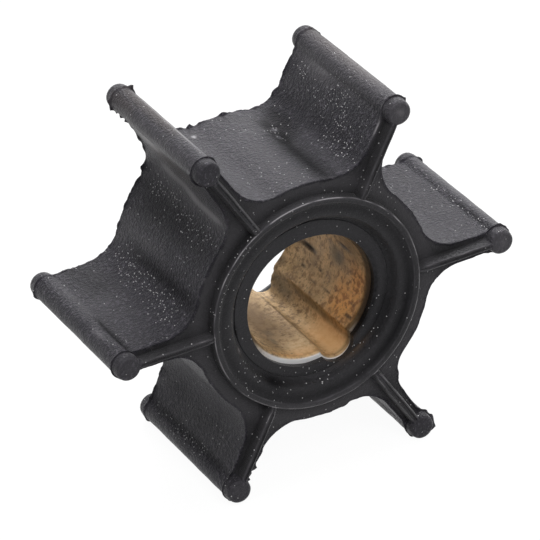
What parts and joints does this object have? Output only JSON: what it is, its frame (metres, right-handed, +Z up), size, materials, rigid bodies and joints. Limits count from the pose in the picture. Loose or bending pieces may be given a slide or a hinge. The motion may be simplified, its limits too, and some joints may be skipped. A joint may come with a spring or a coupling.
{
  "type": "pump impeller",
  "caption": "Flexible rubber vane impeller for a small water pump, with beaded vane tips, sealing rings on both ends and a bonded bronze insert with a half-round key groove.",
  "frame": {"origin": "centre of the drive shaft bore, half way along it", "axes": "+Z up as the part stands on two vanes in the picture, -Y along the bore to the pictured end, +X along the vane at the upper right of the picture"},
  "size_m": [0.0428, 0.0188, 0.0374],
  "materials": {
    "rubber": "satin, as moulded",
    "bronze": "worn, tarnished"
  },
  "bodies": {
    "root": {"rubber_rotor": "rubber", "hub_insert": "bronze"}
  },
  "joints": []
}
